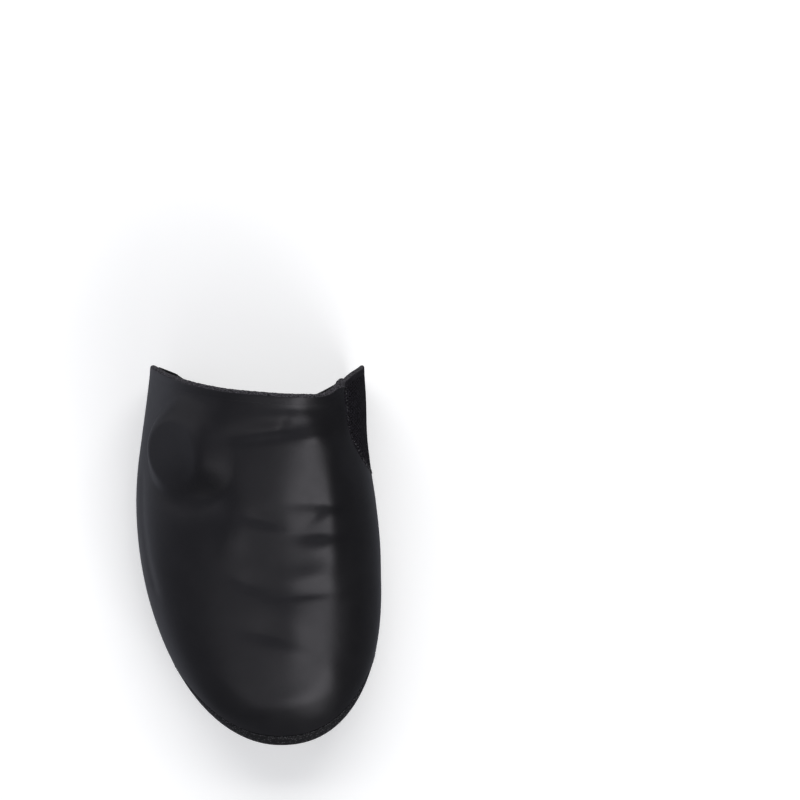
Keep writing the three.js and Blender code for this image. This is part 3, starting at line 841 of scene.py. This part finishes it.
def knit_holes(across, ahead):
    """How far into a hole of the knit each place is, from 0 on the ribs to 1 in a hole."""
    column = across / KNIT_ROUND["pitch"]
    row = ahead / KNIT_ALONG["pitch"] + 0.5 * (np.floor(column) % 2)
    x = (column - np.floor(column) - 0.5) / KNIT_ROUND["hole"]
    y = (row - np.floor(row) - 0.5) / KNIT_ALONG["hole"]
    return np.exp(-(x**2) - y**2)


def gusset_surface(stations, chains):
    """Places and triangles of the bare skin from the gusset seam to the sole seam."""
    ends = lengths_to_seam(SOLE_SEAM, chains) - SEAM_GAP / 2 - RIM_BULGE
    starts = np.minimum(lengths_to_seam(GUSSET_SEAM, chains) - GUSSET_SPARE, ends - GUSSET_SHORTEST)
    places = columns_down(stations, starts, ends, GUSSET_ROWS, chains).reshape(-1, 2)
    faces = grid_faces(len(stations), GUSSET_ROWS + 1)
    return trim(places, faces, lambda p: SEAM_BACK - past_gusset_seam(p))


def gusset_panel():
    """The knitted panel on the medial side, which ends forward in a point on the sole seam."""
    first_station = (GUSSET_HEM_HEIGHT + HAIRLINE) / SIDE_RUN
    stations = np.linspace(first_station, GUSSET_LAST_STATION, GUSSET_COLUMNS)
    chains = profile_lengths(stations)
    places, faces = gusset_surface(stations, chains)
    bare, normals = skin(*places.T), skin_normal(*places.T)
    turns, _, lengths = chains
    holes = knit_holes(np.interp(places[:, 1], turns, lengths[0]), bare[:, 1])
    edge = smooth((past_gusset_seam(places) - SEAM_BACK) / KNIT_FADE)
    knitted = bare + normals * (-KNIT_DEPTH * holes * edge)[:, None]
    points, faces, _ = wall(knitted, normals, faces, GUSSET_WALL)
    obj = piece("gusset_panel", points, faces, [KNIT])
    # How far into a hole of the knit each point is, which the knit's material darkens as painted shade.
    values = np.zeros(len(points))
    values[: 2 * len(holes)] = np.tile(holes * edge, 2)
    set_point_values(obj, "hole", values)
    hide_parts("side_gusset")
    return obj


def cleat_edge(places):
    """The points of the cleat opening's edge in the directions of places on the sole."""
    centre = np.array([CLEAT_HOLE["x"], CLEAT_HOLE["y"]])
    direction = unit(places - centre)
    power = CLEAT_HOLE["fullness"]
    across = np.abs(direction[:, 0] / CLEAT_HOLE["half_width"]) ** power
    ahead = np.abs(direction[:, 1] / CLEAT_HOLE["half_length"]) ** power
    return centre + direction * ((across + ahead) ** (-1 / power))[:, None]


def floor_points(plan):
    """Points and normals of the sole's underside at places in plan."""
    y = plan[..., 1]
    slope = (sole_height(y + NUDGE["y"]) - sole_height(y - NUDGE["y"])) / (2 * NUDGE["y"])
    points = np.concatenate([plan, sole_height(y)[..., None]], -1)
    return points, unit(np.stack([np.zeros_like(y), slope, -np.ones_like(y)], -1))


def sole_shell():
    """The sole: a strip from the sole seam round the edge, and the floor in to the cleat opening."""
    stations = stations_round(0)
    chains = profile_lengths(stations)
    starts = lengths_to_seam(SOLE_SEAM, chains) + SEAM_GAP / 2 + RIM_BULGE
    wrap = columns_down(stations, starts, chains[2][:, -1], WRAP_ROWS, chains)
    wrap_points = skin(wrap[..., 0], wrap[..., 1])
    wrap_normals = skin_normal(wrap[..., 0], wrap[..., 1])
    medial, lateral = wrap_points[0, -1, :2], wrap_points[-1, -1, :2]
    t = np.linspace(0, 1, BACK_EDGE_COLUMNS + 1)[1:-1, None]
    back = mix(lateral, medial, t) - np.array([0, BACK_EDGE_BOW]) * 4 * t * (1 - t)
    outline = np.concatenate([wrap_points[:, -1, :2], back])
    shares = np.linspace(0, 1, FLOOR_ROWS + 1)[None, :, None]
    plan = mix(outline[:, None], cleat_edge(outline)[:, None], shares)
    floor, floor_normals = floor_points(plan)
    wrap_faces = grid_faces(len(stations), WRAP_ROWS + 1)
    floor_faces = grid_faces(len(outline), FLOOR_ROWS + 1, closed=True) + wrap_points[..., 0].size
    points = np.concatenate([wrap_points.reshape(-1, 3), floor.reshape(-1, 3)])
    normals = np.concatenate([wrap_normals.reshape(-1, 3), floor_normals.reshape(-1, 3)])
    first, faces = merged(points, np.concatenate([wrap_faces, floor_faces]))
    points, faces, _ = wall(points[first], normals[first], faces, SOLE_WALL)
    obj = piece("sole_shell", points, faces, [SOLE])
    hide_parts("sole_panel")
    return obj


# Hems. Their profile runs from the joint with the wall over the outside to the cut edge, and back
# inside. across: -1 at the cut edge, 1 at the joint. out: 1 and -1 are the wall's two skins.
HEM_PROFILE = table(
    "across out",
    (1.0, 1.0),
    (0.7, 1.02),
    (0.35, 1.06),
    (0.0, 1.1),
    (-0.3, 1.12),
    (-0.55, 1.08),
    (-0.75, 0.97),
    (-0.9, 0.72),
    (-0.98, 0.38),
    (-1.0, 0.0),
    (-0.98, -0.45),
    (-0.9, -0.85),
    (-0.72, -1.15),
    (-0.4, -1.35),
    (0.0, -1.4),
    (0.4, -1.35),
    (0.75, -1.2),
    (1.0, -1.0),
)
HEM_CORNERS = 2 * len(HEM_PROFILE["across"]) - 1
HEM_STEP = 0.5  # degrees of turn between rings
HEM_BACK = 0.3  # degrees of turn that a hem stays back from a seam
HEM_SHARP = 55  # degrees at which the hem's joint shows as an edge
HEM_GRAIN = {"size": 0.55, "height": 0.13, "seed": 3}

# The cut edge begins where across is this far below 0, is full a run further on, and shifts with a swell.
CUT = {"start": 0.25, "run": 0.5, "shift": 0.9}

# The hem's doubled end beside the gusset. It swells over turns; its lumps end where across is lumps_to.
KNOT = {"turns": 7.0, "swell": 0.55, "lumps": 0.35, "lump_size": 1.8, "lumps_to": 0.8, "seed": 4}


def opening_edge(side, start, stop):
    """Places along the opening edge on one side: whether they are medial, and their turns."""
    turns = np.linspace(start, stop, math.ceil(abs(stop - start) / HEM_STEP) + 1)
    return np.full(len(turns), side == "medial"), turns


def tube_faces(rings, corners):
    """Triangles over a row of closed rings of points, and over the two ends."""
    fan = np.arange(1, corners - 1)
    first_cap = np.stack([np.zeros_like(fan), fan, fan + 1], -1)
    last_cap = np.stack([np.zeros_like(fan), fan + 1, fan], -1) + (rings - 1) * corners
    return np.concatenate([ring_faces(rings, corners), first_cap, last_cap])


def hem_roll(medial, turns, height, thickness, swell):
    """A rolled hem along the opening edge: its points, its triangles and how near the cut edge the
    points are, 1 on it and 0 on the side of the wall. swell: how many times as thick it is."""
    share = height / SIDE_RUN
    first, middle, last = [np.where(medial, u, 3 - u) for u in (0, share / 2, share)]
    normals = skin_normal(middle, turns)
    back, front = relief(skin(first, turns), normals), relief(skin(last, turns), normals)
    corner = np.linspace(0, len(HEM_PROFILE["across"]) - 1, HEM_CORNERS)
    across, out = [np.interp(corner, np.arange(len(v)), v) for v in HEM_PROFILE.values()]
    more = swell[:, None] - 1
    across = across + more * np.minimum(across, 0)
    out = out * (1 + more * (1 - across) / 2)
    half_wall = normals * thickness / 2
    half = (front - back) / 2
    radial = half[:, None] * across[..., None] + half_wall[:, None] * out[..., None]
    points = ((back + front) / 2 - half_wall)[:, None] + radial
    edge = smooth((more * CUT["shift"] - across - CUT["start"]) / CUT["run"])
    fibres = grain(points, HEM_GRAIN["size"], HEM_GRAIN["seed"]) * HEM_GRAIN["height"] * edge
    lumps = grain(points, KNOT["lump_size"], KNOT["seed"]) * KNOT["lumps"] * more / KNOT["swell"]
    rise = fibres + lumps * (across < KNOT["lumps_to"])
    points = points + unit(radial) * rise[..., None]
    return points.reshape(-1, 3), tube_faces(len(turns), HEM_CORNERS), edge.reshape(-1)


def hem_piece(name, node, roll, plain):
    """A hem's mesh object, which has the cut edge's own material along it."""
    points, faces, edge = roll
    on_edge = edge[faces].mean(axis=1) > 0.5
    obj = piece(name, points, faces, [plain, CUT_EDGE], on_edge, HEM_SHARP)
    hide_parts(node)
    return obj


def upper_hem_roll():
    """The upper's hem, from the lateral sole seam over the ridge to the gusset."""
    lateral = opening_edge("lateral", SIDE_SEAM_TURN - HEM_BACK, 0)
    medial = opening_edge("medial", 0, GUSSET_SEAM["turn"][0] - HEM_BACK)
    sides = np.concatenate([lateral[0], medial[0][1:]])
    turns = np.concatenate([lateral[1], medial[1][1:]])
    to_end = (GUSSET_SEAM["turn"][0] - turns) / KNOT["turns"]
    swell = 1 + KNOT["swell"] * np.where(sides, 1 - smooth(to_end), 0)
    roll = hem_roll(sides, turns, UPPER_HEM_HEIGHT, UPPER_WALL, swell)
    return hem_piece("upper_hem_roll", "upper_hem", roll, COATED)


def gusset_hem_roll():
    """The gusset's lower and plainer hem."""
    start, stop = GUSSET_SEAM["turn"][0] + HEM_BACK, SIDE_SEAM_TURN - HEM_BACK
    sides, turns = opening_edge("medial", start, stop)
    roll = hem_roll(sides, turns, GUSSET_HEM_HEIGHT, GUSSET_WALL, np.ones(len(turns)))
    return hem_piece("gusset_hem_roll", "gusset_hem", roll, KNIT)


# The stitching of the seams: degrees of turn beyond the seam, pitch, degrees of slant to it, how far a
# stitch strays to either side, and its length, width and thickness.
GUSSET_STITCHES = {
    "seam": GUSSET_SEAM,
    "stations": np.linspace(0.03, 0.48, 120),
    "beyond": 1.6,
    "pitch": 1.4,
    "slant": 55,
    "stray": 0.6,
    "size": (1.9, 0.5, 0.5),
    "seed": 5,
}
SOLE_STITCHES = {
    "seam": SOLE_SEAM,
    "stations": stations_round(0.05),
    "beyond": 0.4,
    "pitch": 1.0,
    "slant": 12,
    "stray": 0.12,
    "size": (0.9, 0.32, 0.32),
    "seed": 6,
}
STITCH_RINGS = 7
STITCH_SECTORS = 8
STITCH_SWING = 22  # degrees by which the slant varies
STITCH_LIFT = 0.1  # of a stitch's thickness, by which its middle is above the skin
STITCH_SCALES = (0.55, 1.1)  # of its size
LINE_STEP = 0.2  # between the points of a seam line


def evenly(points, pitch):
    """Places at an even pitch along a line of points, with whatever other columns the rows carry."""
    steps = np.linalg.norm(np.diff(points[:, :3], axis=0), axis=1)
    run = np.concatenate([[0], np.cumsum(steps)])
    wanted = np.arange(0, run[-1], pitch)
    return np.stack([np.interp(wanted, run, points[:, k]) for k in range(points.shape[1])], -1)


def stitch_ball(size):
    """The points of one rounded stitch, lengthways along x and upright along z."""
    theta = np.linspace(0, math.pi, STITCH_RINGS)
    phi = np.linspace(0, 2 * math.pi, STITCH_SECTORS, endpoint=False)
    lengthways = np.repeat(np.cos(theta), STITCH_SECTORS)
    sideways = np.outer(np.sin(theta), np.cos(phi)).ravel()
    upright = np.outer(np.sin(theta), np.sin(phi)).ravel()
    return np.stack([lengthways, sideways, upright], -1) * np.array(size) / 2


def seam_line(seam, stations, beyond):
    """Points along a seam, some degrees beyond it, with normals and directions along it."""
    turns, points, _ = profile_lengths(stations)
    turn = seam_turns(seam, turns, points) + beyond
    points, normals = skin(stations, turn), skin_normal(stations, turn)
    line = evenly(np.concatenate([points, normals], -1), LINE_STEP)
    points, normals = line[:, :3], unit(line[:, 3:])
    return points, normals, unit(np.gradient(points, axis=0))


def stitches(name, slot, seam, stations, beyond, pitch, slant, stray, size, seed):
    """Short rounded stitches along a seam as one mesh, each a little uneven."""
    points, normals, forward = seam_line(seam, stations, beyond)
    random = np.random.default_rng(seed)
    at = np.arange(2, len(points) - 2, pitch / LINE_STEP).astype(int)
    at = np.clip(at + random.integers(-1, 2, len(at)), 0, len(points) - 1)
    points, normals, forward = points[at], normals[at], forward[at]
    count = len(at)
    angle = np.radians(slant + random.uniform(-1, 1, count) * STITCH_SWING)[:, None]
    aside = unit(np.cross(normals, forward))
    direction = unit(forward * np.cos(angle) + aside * np.sin(angle))
    shift = aside * random.uniform(-stray, stray, (count, 1))
    centres = points + shift + normals * (size[2] * STITCH_LIFT)
    scale = random.uniform(*STITCH_SCALES, count)[:, None, None]
    axes = np.stack([direction, unit(np.cross(normals, direction)), normals], 1)
    local = stitch_ball(size)
    corners = centres[:, None] + np.einsum("pk,nkd->npd", local, axes) * scale
    one = ring_faces(STITCH_RINGS, STITCH_SECTORS)
    faces = (one[None] + (np.arange(count) * len(local))[:, None, None]).reshape(-1, 3)
    return piece(name, corners.reshape(-1, 3), faces, [THREAD])


upper_obj = upper_shell()
gusset_obj = gusset_panel()
sole_obj = sole_shell()
upper_hem_obj = upper_hem_roll()
gusset_hem_obj = gusset_hem_roll()
stitches("gusset_stitches", "knit_mesh", **GUSSET_STITCHES)
stitches("sole_stitches", "sole_fabric", **SOLE_STITCHES)


# ---- Stage, light and camera ----

FLOOR = {"side": 8000, "z": -0.3, "glow": 0.32}
CAMERA = {"x": 59.6, "y": 65.3, "height": 1400, "lens": 146.8, "sensor": 36, "near": 50, "far": 20000}

# How light the room is along each axis: stops of (cosine of the direction, shade).
ROOM = {
    "Z": [(-1, 0.4), (-0.5, 0.36), (-0.15, 0.14), (0.25, 0.13)]
    + [(0.6, 0.22), (0.8, 0.26), (0.93, 0.46), (1, 0.56)],
    "X": [(-1, 3.3), (-0.95, 2.6), (-0.85, 1.9), (-0.6, 0.85), (-0.3, 0.8)]
    + [(0.3, 0.62), (0.5, 0.5), (0.8, 0.36), (1, 0.8)],
    "Y": [(-1, 1), (-0.05, 1), (0.1, 0.85), (0.3, 0.8), (1, 0.45)],
}
ROOM_TINT = (0.95, 0.96, 1.0)

# Softboxes: bearing in degrees from +X, tilt from straight up, distance, sides and brightness.
SOFTBOXES = table(
    "bearing tilt distance width height radiance",
    (-62, 55.5, 1500, 900, 900, 3.3),
    (-30, 45, 1500, 520, 460, 2.0),
    (-112, 48, 1500, 800, 600, 0.75),
    (165, 75, 1500, 900, 1200, 0.45),
    (90, 45, 1800, 2000, 1000, 4.2),
)


def stage_floor():
    """The white floor, which glows and isn't mirrored in the cover."""
    bpy.ops.mesh.primitive_plane_add(size=FLOOR["side"] * MM, location=(0, 0, FLOOR["z"] * MM))
    floor = bpy.context.object
    floor.name = "stage_floor"
    glow = {"Emission_Color": (1, 1, 1, 1), "Emission_Strength": FLOOR["glow"]}
    made = Finish("stage_white", Roughness=0.9, **glow)
    tone = made.ramp(made.noise(900, 1), (0.3, (0.82, 0.82, 0.82)), (0.7, (0.84, 0.84, 0.84)))
    made.link(tone, made.shader.inputs["Base Color"])
    floor.data.materials.append(made.material)
    floor.visible_glossy = False


def softbox(index, bearing, tilt, distance, width, height, radiance):
    """A rectangular softbox that faces the cover. radiance: how bright it looks against the floor."""
    light = bpy.data.lights.new(f"softbox_{index}", "AREA")
    light.shape = "RECTANGLE"
    light.size, light.size_y = width * MM, height * MM
    light.energy = radiance * math.pi * light.size * light.size_y
    lamp = bpy.data.objects.new(light.name, light)
    bpy.context.scene.collection.objects.link(lamp)
    a, e = math.radians(bearing), math.radians(tilt)
    direction = Vector((math.sin(e) * math.cos(a), math.sin(e) * math.sin(a), math.cos(e)))
    lamp.location = direction * distance * MM
    lamp.rotation_mode = "QUATERNION"
    lamp.rotation_quaternion = direction.to_track_quat("Z", "Y")
    lamp.visible_camera = False


def room_shade(tree, cosine, stops):
    """The shade of the room along one axis, in the world's node tree."""
    share = tree.nodes.new("ShaderNodeMapRange")
    share.inputs["From Min"].default_value = -1
    tree.links.new(cosine, share.inputs["Value"])
    colours = [((at + 1) / 2, [shade * tint for tint in ROOM_TINT]) for at, shade in stops]
    return colour_ramp(tree, share.outputs["Result"], colours)


def surroundings():
    """The room round the softboxes: the product of its shades along the three axes."""
    world = bpy.data.worlds.new("studio")
    world.use_nodes = True
    tree = world.node_tree
    direction = tree.nodes.new("ShaderNodeSeparateXYZ")
    coordinates = tree.nodes.new("ShaderNodeTexCoord")
    tree.links.new(coordinates.outputs["Generated"], direction.inputs["Vector"])
    shades = [room_shade(tree, direction.outputs[axis], stops) for axis, stops in ROOM.items()]
    total = shades[0]
    for shade in shades[1:]:
        product = tree.nodes.new("ShaderNodeMix")
        product.data_type = "RGBA"
        product.blend_type = "MULTIPLY"
        product.inputs["Factor"].default_value = 1.0
        tree.links.new(total, product.inputs["A"])
        tree.links.new(shade, product.inputs["B"])
        total = product.outputs["Result"]
    tree.links.new(total, tree.nodes["Background"].inputs["Color"])
    bpy.context.scene.world = world


def camera():
    """The camera, which looks straight down. Colours are shown as they are."""
    data = bpy.data.cameras.new("camera")
    data.lens, data.sensor_width = CAMERA["lens"], CAMERA["sensor"]
    data.clip_start, data.clip_end = CAMERA["near"] * MM, CAMERA["far"] * MM
    obj = bpy.data.objects.new("camera", data)
    obj.location = (CAMERA["x"] * MM, CAMERA["y"] * MM, CAMERA["height"] * MM)
    scene = bpy.context.scene
    scene.collection.objects.link(obj)
    scene.camera = obj
    scene.view_settings.view_transform = "Standard"
    scene.view_settings.look = "None"


stage_floor()
for index, box in enumerate(zip(*SOFTBOXES.values())):
    softbox(index, *box)
surroundings()
camera()
